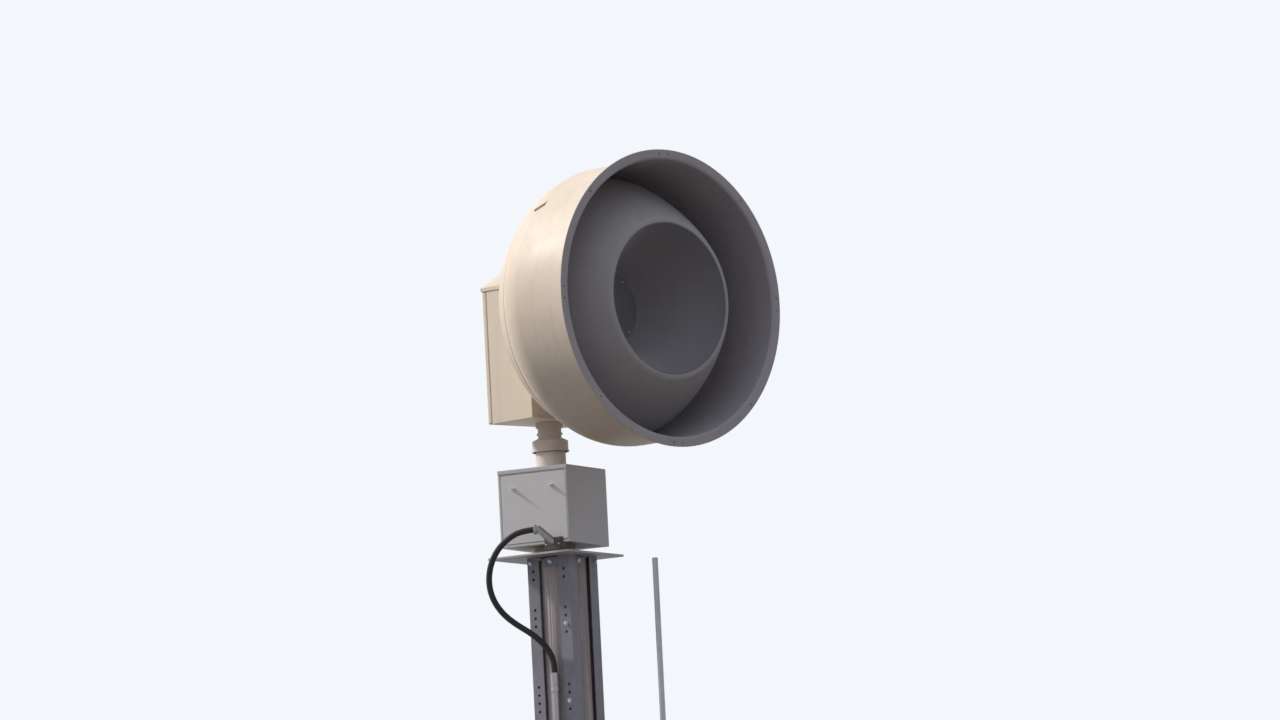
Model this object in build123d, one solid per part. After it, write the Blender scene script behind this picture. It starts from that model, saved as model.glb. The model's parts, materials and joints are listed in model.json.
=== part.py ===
# Civil defense siren tower: a rotating bowl horn siren on a tall wood pole
# Millimetres and degrees, +Z up, origin at the centre of the pole's foot at ground level
import os
from math import atan2, degrees, radians, sqrt, tan

from build123d import *

os.makedirs("parts", exist_ok=True)

# Wood pole: a straight seat for the steel legs at its top, then a long taper to the ground
pole_height = 11700
pole_top_diameter = 218
pole_base_diameter = 320
pole_seat_length = 1550

# Four steel angle legs that hug the pole under the plate
leg_square = 232
leg_flange = 64
leg_wall = 6.4
leg_length = 1500
leg_hole_diameter = 14
leg_hole_pitch = 38
leg_pair_drop = 62
leg_group_drop = 241
leg_group_pitch = 355.6
leg_group_count = 4
holes_per_group = 4

# Steel plate on the legs, and the angle clips that tie it to them
plate_size = 452
plate_thickness = 9.5
plate_above_pole = 10
rotor_offset = -34
clip_height = 45
clip_depth = 40
clip_wall = 6.4
long_clip_reach = 137
short_clip_reach = 98

# Rotator box on its round pedestal
pedestal_height = 41
pedestal_diameter = 190
box_size = 364
box_height = 358
box_turn = 4.4
box_wall = 3
lid_thickness = 4
lid_lip_height = 18
lid_lip_wall = 2
cover_margin = 14
cover_thickness = 6
cover_proud = 1
cover_gap = 3
stud_diameter = 9
stud_length = 26
stud_tail = 2
stud_clearance = 0.2
stud_spacing = 204
stud_drop = 92
running_clearance = 0.3

# Conduit: block beside the box, stiff black flexible loop, rigid pipe down the pole
block_width = 94
block_depth = 66
block_foot_height = 34
block_height = 64
block_left = 85
block_front = -215
block_box_gap = 8
fitting_diameter = 34
fitting_mouth = 22
fitting_inset = 12
fitting_drop = 22
gland_nut_across = 41
gland_nut_length = 13
flexible_diameter = 28
coupling_diameter = 42
coupling_length = 90
coupling_edge = 3
coupling_drop = 549.5
coupling_lead = 56
rigid_diameter = 34
rigid_x = 16
rigid_stand_off = 5
strap_width = 28
strap_thickness = 2.5
strap_count = 7
strap_first_drop = 900
strap_wing = 24

# Antenna mast on two stand-off arms beside the pole
antenna_reach = 514
antenna_diameter = 27
antenna_top_drop = 50
arm_size = 32
arm_rises = (420, 120)
arm_clamp_wall = 6

# Turning head, measured from the pipe's axis and from the middle of the pipe collar
horn_heading = -12.8
collar_above_plate = 507
pipe_diameter = 139
pipe_below_lid = 60
collar_diameter = 170
collar_height = 50
collar_chamfer = 22
neck_diameter = 110

# Driver housing behind the horn
housing_half_width = 230
housing_front = 135
housing_rear = -164
housing_bottom = 113
housing_eave = 745
sheet = 3
rear_cover_depth = 30
rear_cover_seam = 4
cap_pitch = 29
cap_bend = -37
cap_fall = 29
cap_lip = 18
cap_overhang = 4
panel_gap = 2

# Horn: bell, rolled rim, rear shell, and the plug with its deep funnel
horn_height = 588
mouth_reach = 857
shell_wall = 5
bell_radius = 643
bell_straight = 340
bell_length = 480
bell_end_radius = 597
rim_radius = 685
rim_bend = 13
shell_flange_width = 22
shell_flange_thickness = 6
shell_radius = 591
shell_edge_depth = 570
shell_edge_radius = 547
throat_radius = 150
throat_depth = 650
plug_lip_depth = 9
plug_lip_radius = 358
plug_lip_width = 6
plug_nose = (25, 382)
plug_flank = (110, 450)
plug_shoulder = (345, 590)
plug_end = (400, 604)
funnel_radius = 184
funnel_depth = 430
funnel_sag = 26

# How far a cutting body runs past the piece that it cuts
cut_margin = 10

# Heights that follow from the sizes above
plate_bottom = pole_height + plate_above_pole
plate_top = plate_bottom + plate_thickness
box_bottom = plate_top + pedestal_height
box_top = box_bottom + box_height
collar_level = plate_top + collar_above_plate
coupling_top = plate_top - coupling_drop
leg_foot = plate_bottom - leg_length


def save(part, node):
    part.label = node
    export_step(part, f"parts/{node}.step")


def at_rotor(part):
    """Moves a piece made about the pipe's axis to that axis on the plate."""
    return Pos(rotor_offset, 0, 0) * part


def on_head(part):
    """Turns a piece of the head, made with the horn along +X, to the horn's heading."""
    return at_rotor(Pos(0, 0, collar_level) * Rot(0, 0, horn_heading) * part)


def box_between(low, high):
    size = [b - a for a, b in zip(low, high)]
    centre = [(a + b) / 2 for a, b in zip(low, high)]
    return Pos(*centre) * Box(*size)


def rod(radius, low, high, x=0, y=0):
    return Pos(x, y, (low + high) / 2) * Cylinder(radius, high - low)


# Pole
def wood_pole():
    foot = pole_base_diameter / 2
    head = pole_top_diameter / 2
    seat = pole_height - pole_seat_length
    outline = Polyline((0, 0), (foot, 0), (head, seat), (head, pole_height), (0, pole_height), close=True)
    return revolve(Plane.XZ * make_face(outline), Axis.Z)


def pole_radius(height):
    """Radius of the pole at a height above ground."""
    seat = pole_height - pole_seat_length
    share = min(height / seat, 1)
    return (pole_base_diameter + (pole_top_diameter - pole_base_diameter) * share) / 2


# Legs: one angle per corner, its holes on the flange that faces front or back
def leg_hole_drops():
    pair = [leg_pair_drop + i * leg_hole_pitch for i in range(2)]
    groups = [leg_group_drop + g * leg_group_pitch + i * leg_hole_pitch
              for g in range(leg_group_count) for i in range(holes_per_group)]
    return pair + groups


def leg(side_x, side_y):
    half = leg_square / 2
    angle = Polyline((0, 0), (leg_flange, 0), (leg_flange, leg_wall), (leg_wall, leg_wall),
                     (leg_wall, leg_flange), (0, leg_flange), close=True)
    bar = extrude(make_face(angle), leg_length)
    bar = fillet(bar.edges().filter_by(Axis.Z).sort_by_distance((leg_wall, leg_wall, 0))[0], leg_wall)
    bore = Rot(90, 0, 0) * Cylinder(leg_hole_diameter / 2, 4 * leg_wall)
    for drop in leg_hole_drops():
        bar -= Pos(leg_flange / 2, leg_wall / 2, leg_length - drop) * bore
    bar = Pos(-half, -half, leg_foot) * bar
    if side_x > 0:
        bar = mirror(bar, Plane.YZ)
    if side_y > 0:
        bar = mirror(bar, Plane.XZ)
    return bar


# Clips: an angle welded in line with a leg's flange, with its top leg under the plate
def clip(reach):
    """Clip on the front face, running from the right leg's flange towards the middle."""
    half = leg_square / 2
    right = half - leg_flange
    left = half - reach
    face = box_between((left, -half, plate_bottom - clip_height), (right, -half + clip_wall, plate_bottom))
    top = box_between((left, -half, plate_bottom - clip_wall), (right, -half + clip_depth, plate_bottom))
    return face + top


# Plate
def top_plate():
    plate = Pos(0, 0, (plate_bottom + plate_top) / 2) * Box(plate_size, plate_size, plate_thickness)
    return at_rotor(plate)


# Rotator box: walls and floor, lid with a drip lip, front cover with two studs
def in_box(part):
    return at_rotor(Rot(0, 0, box_turn) * part)


def box_pedestal():
    return at_rotor(rod(pedestal_diameter / 2, plate_top, box_bottom))


def rotator_box_body():
    half = box_size / 2
    inner = half - box_wall
    top = box_top - lid_thickness
    shell = box_between((-half, -half, box_bottom), (half, half, top))
    shell -= box_between((-inner, -inner, box_bottom + box_wall), (inner, inner, top + cut_margin))
    left = -half + cover_margin
    right = half - box_wall - cover_gap
    low = box_bottom + cover_margin
    high = top - lid_lip_height - cover_gap
    shell -= box_between((left, -half - cut_margin, low), (right, -inner + cut_margin, high))
    return in_box(shell)


def rotator_box_lid():
    half = box_size / 2
    slab = box_between((-half, -half, box_top - lid_thickness), (half, half, box_top))
    skirt = half + lid_lip_wall
    lip = box_between((-half, -skirt, box_top - lid_lip_height), (half, -half, box_top))
    low = box_top - lid_thickness - cut_margin
    hole = rod(pipe_diameter / 2 + running_clearance, low, box_top + cut_margin)
    return in_box(slab + lip - hole)


def rotator_box_cover():
    half = box_size / 2
    left = -half + cover_margin + cover_gap / 2
    right = half - box_wall - cover_gap * 1.5
    low = box_bottom + cover_margin + cover_gap / 2
    high = box_top - lid_thickness - lid_lip_height - cover_gap * 1.5
    front = -half - cover_proud
    panel = box_between((left, front, low), (right, front + cover_thickness, high))
    rebate = cover_margin / 2
    back = -half + box_wall
    seat = box_between((left - rebate, back, low - rebate), (right, back + box_wall, high + rebate))
    return in_box(panel + seat - stud_pair(stud_diameter / 2 + stud_clearance))


def stud_pair(radius):
    """Two level pins that start just behind the cover and stand out in front of it."""
    back = -box_size / 2 + 2 * box_wall + stud_tail
    length = stud_tail + 2 * box_wall + cover_proud + stud_length
    pin = Rot(90, 0, 0) * Cylinder(radius, length)
    level = box_top - stud_drop
    return [Pos(side * stud_spacing / 2, back - length / 2, level) * pin for side in (-1, 1)]


def cover_studs():
    return in_box(Compound(children=stud_pair(stud_diameter / 2)))


# Conduit: block, gland, flexible loop, coupling, rigid pipe and its straps
def conduit_block():
    right = block_left + block_width
    back = block_front + block_depth
    foot = box_between((block_left, block_front, plate_top), (right, back, plate_top + block_foot_height))
    tower_back = -box_size / 2 - block_box_gap
    tower = box_between((block_left, block_front, plate_top), (right, tower_back, plate_top + block_height))
    return at_rotor(foot + tower)


# Points of the flexible loop: x, y, and height above the top of the plate
flexible_route = [(31, -265, 101.5), (-23, -292, 98.5), (-81, -312, 69.5), (-135, -322, 23.5),
                  (-173, -324, -34.5), (-195, -318, -99.5), (-199, -306, -162.5), (-183, -290, -223.5),
                  (-148, -268, -279.5), (-103, -240, -323.5), (-60, -208, -358.5), (-25, -176, -397.5),
                  (-1, -148, -439.5)]


def rigid_axis(height):
    """Centre of the rigid conduit where it follows the pole's face at a height."""
    reach = pole_radius(height) + rigid_diameter / 2 + rigid_stand_off
    return (rigid_x, -sqrt(reach ** 2 - rigid_x ** 2), height)


def route_points():
    loop = [Vector(x, y, plate_top + rise) for x, y, rise in flexible_route]
    x, y, top = rigid_axis(coupling_top)
    return loop + [Vector(x, y, top + coupling_lead), Vector(x, y, top)]


def corner_radii(points):
    radii = []
    for before, here, after in zip(points, points[1:], points[2:]):
        turn = (here - before).get_angle(after - here)
        run = min((here - before).length, (after - here).length)
        radii.append(0.45 * run / tan(radians(turn / 2)))
    return radii


def flexible_conduit():
    points = route_points()
    radii = corner_radii(points)
    print("flexible conduit radii", [round(r) for r in radii])
    path = FilletPolyline(*points, radius=radii)
    print("flexible conduit length", round(path.length))
    start = Plane(origin=points[0], z_dir=points[1] - points[0])
    return sweep(start * Circle(flexible_diameter / 2), path=path)


def rod_between(radius, start, end):
    run = end - start
    return Plane(origin=start + run / 2, z_dir=run) * Cylinder(radius, run.length)


def conduit_fitting():
    """Angled gland: a stub out of the block, a round elbow and a hexagonal nut that holds the loop."""
    points = route_points()
    heading = (points[1] - points[0]).normalized()
    elbow = points[0] - heading * fitting_mouth
    root_x = block_left + rotor_offset + block_width / 2
    root = Vector(root_x, block_front + fitting_inset, plate_top + block_height - fitting_drop)
    radius = fitting_diameter / 2
    gland = rod_between(radius, root, elbow) + rod_between(radius, elbow, points[0])
    gland += Pos(*elbow) * Sphere(radius)
    nut_base = Plane(origin=points[0] - heading * gland_nut_length, z_dir=heading)
    hexagon = RegularPolygon(gland_nut_across / 2, 6, major_radius=False)
    gland += extrude(nut_base * hexagon, gland_nut_length)
    outside = gland - conduit_block()
    return outside.solids().sort_by(SortBy.VOLUME)[-1]


def conduit_coupling():
    x, y, top = rigid_axis(coupling_top)
    coupling = rod(coupling_diameter / 2, top - coupling_length, top, x, y)
    return chamfer(coupling.edges().filter_by(GeomType.CIRCLE), coupling_edge)


def rigid_conduit():
    foot = rigid_axis(0)
    bend = rigid_axis(pole_height - pole_seat_length)
    top = rigid_axis(coupling_top - coupling_length)
    radius = rigid_diameter / 2
    lower = loft([Pos(*foot) * Circle(radius), Pos(*bend) * Circle(radius)], ruled=True)
    return lower + rod(radius, bend[2], top[2], rigid_x, top[1])


def conduit_strap(height):
    """A two-hole strap over the rigid conduit, its wings flat on the pole."""
    x, y, _ = rigid_axis(height)
    heading = degrees(atan2(x, -y))
    outer = rigid_diameter / 2 + strap_thickness
    reach = sqrt(x ** 2 + y ** 2)
    back = pole_radius(height) - reach
    hoop = rod(outer, 0, strap_width) + box_between((-outer, 0, 0), (outer, -back, strap_width))
    hollow = rigid_diameter / 2 + running_clearance
    wing = outer + strap_wing
    wings = box_between((-wing, -back - strap_thickness, 0), (wing, -back, strap_width))
    channel = rod(hollow, -cut_margin, strap_width + cut_margin)
    channel += box_between((-hollow, 0, -cut_margin), (hollow, -back + cut_margin, strap_width + cut_margin))
    return Rot(0, 0, heading) * Pos(0, -reach, height) * (hoop + wings - channel)


def conduit_straps():
    spacing = (pole_height - strap_first_drop) / strap_count
    heights = [pole_height - strap_first_drop - i * spacing for i in range(strap_count)]
    return Compound(children=[conduit_strap(h) for h in heights])


# Antenna mast: a pipe held off the pole by two arms with clamp ends
def antenna_rod():
    return rod(antenna_diameter / 2, leg_foot, plate_bottom - antenna_top_drop, antenna_reach)


def antenna_arm(rise):
    """Bar with a clamp round the mast and a foot across two legs, at a height above their feet."""
    level = leg_foot + rise
    top = level + arm_size
    half = leg_square / 2
    bar = box_between((half, -arm_size / 2, level), (antenna_reach, arm_size / 2, top))
    head = rod(antenna_diameter / 2 + arm_clamp_wall, level, top, antenna_reach)
    foot = box_between((half, -half, level), (half + arm_clamp_wall, half, top))
    bore = rod(antenna_diameter / 2, level - cut_margin, top + cut_margin, antenna_reach)
    return bar + head + foot - bore


# Turning pipe, collar and neck
def rotor_pipe():
    low = box_top - lid_thickness - pipe_below_lid - collar_level
    return on_head(rod(pipe_diameter / 2, low, -collar_height / 2))


def pipe_collar():
    collar = rod(collar_diameter / 2, -collar_height / 2, collar_height / 2)
    return on_head(chamfer(collar.edges().group_by(Axis.Z)[-1], collar_chamfer))


def pipe_neck():
    return on_head(rod(neck_diameter / 2, collar_height / 2, housing_bottom))


# Driver housing: a tall sheet-metal case with a gabled cap that drops towards the horn
def side_outline():
    """The housing's side as seen from the left, x forward and z up."""
    fall = (housing_front - cap_bend) * tan(radians(cap_fall))
    return [(housing_rear + rear_cover_depth, housing_bottom), (housing_front, housing_bottom),
            (housing_front, housing_eave - fall), (cap_bend, housing_eave),
            (housing_rear + rear_cover_depth, housing_eave)]


def housing_side_panel(side):
    outline = make_face(Plane.XZ * Polyline(*side_outline(), close=True))
    panel = extrude(outline, amount=sheet, dir=(0, side, 0))
    return on_head(Pos(0, side * (housing_half_width - sheet), 0) * panel)


def housing_floor():
    inner = housing_half_width - sheet
    low = (housing_rear + rear_cover_depth, -inner, housing_bottom)
    return on_head(box_between(low, (housing_front - sheet, inner, housing_bottom + sheet)))


def housing_front_panel():
    inner = housing_half_width - sheet
    fall = (housing_front - cap_bend) * tan(radians(cap_fall))
    eave = housing_eave - fall - panel_gap
    top = eave + inner * tan(radians(cap_pitch))
    outline = Polyline((-inner, housing_bottom), (inner, housing_bottom), (inner, eave), (0, top),
                       (-inner, eave), close=True)
    panel = extrude(Plane.YZ * make_face(outline), sheet)
    return on_head(Pos(housing_front - sheet, 0, 0) * panel)


def housing_rear_cover():
    rear = housing_rear
    seam = rear + rear_cover_depth - rear_cover_seam
    wide = housing_half_width
    tray = box_between((rear, -wide, housing_bottom), (seam, wide, housing_eave))
    inner = wide - sheet
    low = (rear + sheet, -inner, housing_bottom + sheet)
    tray -= box_between(low, (seam + cut_margin, inner, housing_eave - sheet))
    return on_head(tray)


def cap_profile(grow, base):
    """Gable of the cap across the housing: y sideways and z from the eave."""
    half = housing_half_width + grow
    rise = half * tan(radians(cap_pitch))
    return [(-half, base), (half, base), (half, 0), (0, rise), (-half, 0)]


def cap_solid(grow, base):
    """Gabled prism, level behind the bend and falling towards the horn in front of it."""
    reach = 2 * housing_half_width
    fall = tan(radians(cap_fall))
    points = cap_profile(grow, base)
    rear = housing_rear - cap_overhang - cut_margin
    sections = []
    for x, drop in ((rear, 0), (cap_bend, 0), (cap_bend + reach, reach * fall)):
        corners = [(x, y, z + housing_eave - drop) for y, z in points]
        sections.append(make_face(Polyline(*corners, close=True)))
    back = loft([sections[0], sections[1]], ruled=True)
    front = loft([sections[1], sections[2]], ruled=True)
    return back + front


def between_planes(part, rear, front):
    """What is left of a piece of the head between two planes across the horn's heading."""
    wide = 2 * housing_half_width
    return part & box_between((rear, -wide, 0), (front, wide, 2 * housing_eave))


def housing_cap():
    """Sheet roof with a lip all round, and a gable that closes its rear end."""
    outer = cap_solid(cap_overhang, -cap_lip)
    inner = cap_solid(cap_overhang - sheet, -cap_lip - cut_margin)
    rear = housing_rear - cap_overhang
    roof = between_planes(outer - inner, rear, housing_front)
    gable = between_planes(outer, rear, rear + sheet)
    return on_head(roof + gable)


# Horn: profiles are (depth behind the mouth, radius), turned about the horn's axis
def turned(wire, sweep=360, start=0):
    """Solid turned about the horn's axis from a closed wire in depth and radius, all round or in part."""
    face = make_face(wire)
    local = Plane(origin=(mouth_reach, 0, horn_height), x_dir=(-1, 0, 0), z_dir=(0, 1, 0))
    axis = Axis((0, 0, horn_height), (1, 0, 0))
    return on_head(revolve(local * face, axis, sweep).rotate(axis, start))


def bell_quarter(start):
    """A quarter of the bell's straight wall, between two of the joints where the rim's bolts stand in pairs."""
    inner = bell_radius - shell_wall
    return turned(Polyline((rim_bend, inner), (rim_bend, bell_radius), (bell_straight, bell_radius),
                           (bell_straight, inner), close=True), 90, start)


def bell_shoulder():
    """Rounded end of the bell, tangent to its straight wall and drawn in to the rear shell's flange."""
    inner = bell_radius - shell_wall
    outer_arc = TangentArc((bell_straight, bell_radius), (bell_length, bell_end_radius), tangent=(1, 0))
    end = Line(outer_arc @ 1, (bell_length, bell_end_radius - shell_wall))
    inner_arc = TangentArc((bell_straight, inner), end @ 1, tangent=(1, 0))
    start = Line(inner_arc @ 0, outer_arc @ 0)
    return turned([outer_arc, end, inner_arc, start])


def mouth_rim():
    """Flat lip round the mouth, rolled over into the bell's wall."""
    centre = (rim_bend, bell_radius - shell_wall + rim_bend)
    front_bend = CenterArc(centre, rim_bend, 180, 90)
    back_bend = CenterArc(centre, rim_bend - shell_wall, 180, 90)
    lip = Polyline(front_bend @ 0, (0, rim_radius), (shell_wall, rim_radius), back_bend @ 0)
    joint = Line(back_bend @ 1, front_bend @ 1)
    return turned([front_bend, lip, back_bend, joint])


def rear_shell():
    """Flange under the bell's end, then a cone out to a sharp edge and a dish in to the throat."""
    wall = shell_wall
    flange = bell_length + shell_flange_thickness
    outer = [(bell_length, bell_end_radius - shell_flange_width), (bell_length, bell_end_radius),
             (flange, bell_end_radius), (flange, shell_radius), (shell_edge_depth, shell_edge_radius),
             (throat_depth, throat_radius)]
    inner = [(throat_depth - wall, throat_radius), (shell_edge_depth - wall, shell_edge_radius - wall),
             (flange, shell_radius - wall), (flange, bell_end_radius - shell_flange_width)]
    return turned(Polyline(*outer, *inner, close=True))


def throat_duct():
    back = mouth_reach - housing_front
    outline = Polyline((funnel_depth + shell_wall, throat_radius - shell_wall),
                       (funnel_depth + shell_wall, throat_radius), (back, throat_radius),
                       (back, throat_radius - shell_wall), close=True)
    return turned(outline)


def inner_plug():
    """Bowed plug: a narrow lip round the funnel's mouth, a nose and a flank that swells to the bell."""
    wall = shell_wall
    inward = Vector(0, -wall)
    lip_inner = plug_lip_radius - plug_lip_width
    lip = Polyline((plug_lip_depth, lip_inner), (plug_lip_depth, plug_lip_radius), plug_nose)
    flank = ThreePointArc(plug_nose, plug_flank, plug_shoulder)
    tail = TangentArc(plug_shoulder, plug_end, tangent=flank % 1)
    end = Line(tail @ 1, tail @ 1 + inward)
    inner_tail = Line(end @ 1, Vector(*plug_shoulder) + inward)
    inner_flank = ThreePointArc(inner_tail @ 1, Vector(*plug_flank) + inward, Vector(*plug_nose) + inward)
    back = Polyline(inner_flank @ 1, (plug_lip_depth + wall, lip_inner), (plug_lip_depth, lip_inner))
    return turned([lip, flank, tail, end, inner_tail, inner_flank, back])


def inner_funnel():
    wall = shell_wall
    lip = plug_lip_radius - plug_lip_width
    start = plug_lip_depth
    middle = ((start + funnel_depth) / 2, (lip + funnel_radius) / 2 - funnel_sag)
    bore = ThreePointArc((start, lip - wall), middle, (funnel_depth, funnel_radius))
    end = Line(bore @ 1, (funnel_depth, funnel_radius + wall))
    skin = ThreePointArc(end @ 1, (middle[0], middle[1] + wall), (start, lip))
    front = Line(skin @ 1, bore @ 0)
    return turned([bore, end, skin, front])


def throat_plate():
    outline = Polyline((funnel_depth, 0), (funnel_depth, funnel_radius + shell_wall),
                       (funnel_depth + shell_wall, funnel_radius + shell_wall),
                       (funnel_depth + shell_wall, 0), close=True)
    return turned(outline)


save(wood_pole(), "wood_pole")
for name, side_x, side_y in (("front_left", -1, -1), ("front_right", 1, -1),
                             ("back_left", -1, 1), ("back_right", 1, 1)):
    save(leg(side_x, side_y), f"leg_{name}")
save(clip(long_clip_reach), "clip_front")
save(Rot(0, 0, 90) * mirror(clip(short_clip_reach), Plane.YZ), "clip_right")
save(Rot(0, 0, 180) * clip(long_clip_reach), "clip_back")
save(Rot(0, 0, 270) * mirror(clip(short_clip_reach), Plane.YZ), "clip_left")
save(top_plate(), "top_plate")
save(box_pedestal(), "box_pedestal")
save(rotator_box_body(), "rotator_box_body")
save(rotator_box_lid(), "rotator_box_lid")
save(rotator_box_cover(), "rotator_box_cover")
save(cover_studs(), "cover_studs")
save(conduit_block(), "conduit_block")
save(conduit_fitting(), "conduit_fitting")
save(flexible_conduit(), "flexible_conduit")
save(conduit_coupling(), "conduit_coupling")
save(rigid_conduit(), "rigid_conduit")
save(conduit_straps(), "conduit_straps")
save(antenna_rod(), "antenna_rod")
save(antenna_arm(arm_rises[0]), "antenna_arm_upper")
save(antenna_arm(arm_rises[1]), "antenna_arm_lower")
save(rotor_pipe(), "rotor_pipe")
save(pipe_collar(), "pipe_collar")
save(pipe_neck(), "pipe_neck")
save(housing_floor(), "housing_floor")
save(housing_side_panel(1), "housing_left_panel")
save(housing_side_panel(-1), "housing_right_panel")
save(housing_front_panel(), "housing_front_panel")
save(housing_rear_cover(), "housing_rear_cover")
save(housing_cap(), "housing_cap")
for start, quarter in ((0, "upper_right"), (90, "lower_right"), (180, "lower_left"), (270, "upper_left")):
    save(bell_quarter(start), f"bell_{quarter}")
save(bell_shoulder(), "bell_shoulder")
save(mouth_rim(), "mouth_rim")
save(rear_shell(), "rear_shell")
save(throat_duct(), "throat_duct")
save(inner_plug(), "inner_plug")
save(inner_funnel(), "inner_funnel")
save(throat_plate(), "throat_plate")
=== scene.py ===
import json
import random
from math import atan2, cos, hypot, pi, radians, sin, sqrt, tan

import bmesh
import bpy
from mathutils import Matrix, Vector


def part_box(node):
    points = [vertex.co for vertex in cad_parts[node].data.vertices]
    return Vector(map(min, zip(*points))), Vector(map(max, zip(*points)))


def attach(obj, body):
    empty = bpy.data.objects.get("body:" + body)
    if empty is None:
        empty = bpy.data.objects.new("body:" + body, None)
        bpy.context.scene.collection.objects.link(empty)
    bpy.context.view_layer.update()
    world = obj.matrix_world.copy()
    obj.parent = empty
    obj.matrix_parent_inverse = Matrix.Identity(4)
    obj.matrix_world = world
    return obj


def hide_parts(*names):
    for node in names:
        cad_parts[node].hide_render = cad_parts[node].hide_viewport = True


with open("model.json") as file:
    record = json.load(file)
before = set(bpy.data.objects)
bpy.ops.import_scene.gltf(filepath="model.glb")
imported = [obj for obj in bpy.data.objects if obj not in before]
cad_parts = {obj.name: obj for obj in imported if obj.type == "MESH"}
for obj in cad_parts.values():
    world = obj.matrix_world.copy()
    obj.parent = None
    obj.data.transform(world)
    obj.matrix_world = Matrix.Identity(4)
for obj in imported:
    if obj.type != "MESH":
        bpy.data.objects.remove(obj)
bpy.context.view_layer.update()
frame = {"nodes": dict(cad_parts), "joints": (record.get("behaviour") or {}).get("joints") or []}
random.seed(54)

# Places taken from the frame, in metres
rotor = Vector(frame["joints"][0]["pos_m"])
heading = radians(-12.8)
rim_low, rim_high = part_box("mouth_rim")
plate_low, plate_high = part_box("top_plate")
box_low, box_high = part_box("rotator_box_body")
cover_low, cover_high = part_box("rotator_box_cover")
leg_low, leg_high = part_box("leg_front_left")
lid_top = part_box("rotator_box_lid")[1].z
pole_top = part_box("wood_pole")[1].z
head_matrix = Matrix.Translation(rotor) @ Matrix.Rotation(heading, 4, "Z")
horn_height = (rim_low.z + rim_high.z) / 2 - rotor.z
rim_radius = (rim_high.z - rim_low.z) / 2
mouth_reach = 0.857
funnel_depth = 0.430


# Modelling helpers
def clear():
    """Leaves edit mode and deselects everything."""
    if bpy.context.object and bpy.context.object.mode != "OBJECT":
        bpy.ops.object.mode_set(mode="OBJECT")
    bpy.ops.object.select_all(action="DESELECT")


def pick(piece):
    clear()
    piece.select_set(True)
    bpy.context.view_layer.objects.active = piece


def named(name):
    piece = bpy.context.object
    piece.name = name
    piece.data.name = name
    return piece


def edit(piece, mode):
    """Enters edit mode on a piece, with nothing selected."""
    pick(piece)
    bpy.ops.object.mode_set(mode="EDIT")
    bpy.ops.mesh.select_mode(type=mode)
    bpy.ops.mesh.select_all(action="DESELECT")
    return bmesh.from_edit_mesh(piece.data)


def select_faces(piece, test):
    """Selects the faces whose centre and normal pass the test."""
    mesh = edit(piece, "FACE")
    for face in mesh.faces:
        face.select_set(bool(test(face.calc_center_median(), face.normal)))
    mesh.select_flush_mode()


def select_edges(piece, test):
    """Selects the edges whose middle and direction pass the test."""
    for line in edit(piece, "EDGE").edges:
        start, end = (vert.co for vert in line.verts)
        line.select_set(bool(test((start + end) / 2, (end - start).normalized())))


def select_verts(piece, test):
    mesh = edit(piece, "VERT")
    for vert in mesh.verts:
        vert.select_set(bool(test(vert)))
    mesh.select_flush_mode()


def extrude(move):
    bpy.ops.mesh.extrude_region_move(TRANSFORM_OT_translate={"value": move})


def modify(piece, kind, **settings):
    pick(piece)
    modifier = piece.modifiers.new(kind.title(), kind)
    for key, value in settings.items():
        setattr(modifier, key, value)
    bpy.ops.object.modifier_apply(modifier=modifier.name)
    return piece


def bevel(piece, width, segments=2, angle=30):
    return modify(piece, "BEVEL", width=width, segments=segments, limit_method="ANGLE",
                  angle_limit=radians(angle), harden_normals=False)


def smooth(piece, angle):
    pick(piece)
    bpy.ops.object.shade_smooth_by_angle(angle=radians(angle))


def tidy(piece, merge=1e-5):
    """Merges a mesh's doubles and turns its faces outwards."""
    edit(piece, "VERT")
    bpy.ops.mesh.select_all(action="SELECT")
    bpy.ops.mesh.remove_doubles(threshold=merge)
    bpy.ops.mesh.normals_make_consistent(inside=False)
    clear()
    return piece


def set_in():
    """Puts the new object's place, turn and scale into its mesh."""
    bpy.ops.object.transform_apply(location=True, rotation=True, scale=True)


def place(piece, matrix):
    """Moves the mesh itself, so that its object stays at the origin."""
    pick(piece)
    piece.matrix_world = matrix @ piece.matrix_world
    set_in()
    return piece


def block(name, low, high):
    """A cuboid between two corners, the start of sheet and plate pieces."""
    clear()
    bpy.ops.mesh.primitive_cube_add(size=1, location=[(a + b) / 2 for a, b in zip(low, high)])
    piece = named(name)
    piece.scale = [b - a for a, b in zip(low, high)]
    set_in()
    return piece


def cylinder(name, radius, low, high, sides=48, x=0.0, y=0.0):
    clear()
    bpy.ops.mesh.primitive_cylinder_add(vertices=sides, radius=radius, depth=high - low,
                                        location=(x, y, (low + high) / 2))
    piece = named(name)
    set_in()
    return piece


def sphere(name, radius, centre, segments, rings):
    clear()
    bpy.ops.mesh.primitive_uv_sphere_add(segments=segments, ring_count=rings, radius=radius, location=centre)
    piece = named(name)
    set_in()
    return piece


def join(name, pieces):
    clear()
    for piece in pieces:
        piece.select_set(True)
    bpy.context.view_layer.objects.active = pieces[0]
    bpy.ops.object.join()
    return named(name)


def cut(piece, cutter):
    """Takes a cutter away from a piece and removes the cutter."""
    modify(piece, "BOOLEAN", object=cutter, operation="DIFFERENCE", solver="EXACT")
    bpy.data.objects.remove(cutter)


def repeated(model, matrices):
    """Copies a model to each place, each copy with its own mesh, and joins them in the model's stead."""
    name, copies = model.name, []
    for matrix in matrices:
        twin = model.copy()
        twin.data = model.data.copy()
        bpy.context.collection.objects.link(twin)
        twin.data.transform(matrix)
        copies.append(twin)
    bpy.data.objects.remove(model)
    return join(name, copies)


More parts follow.
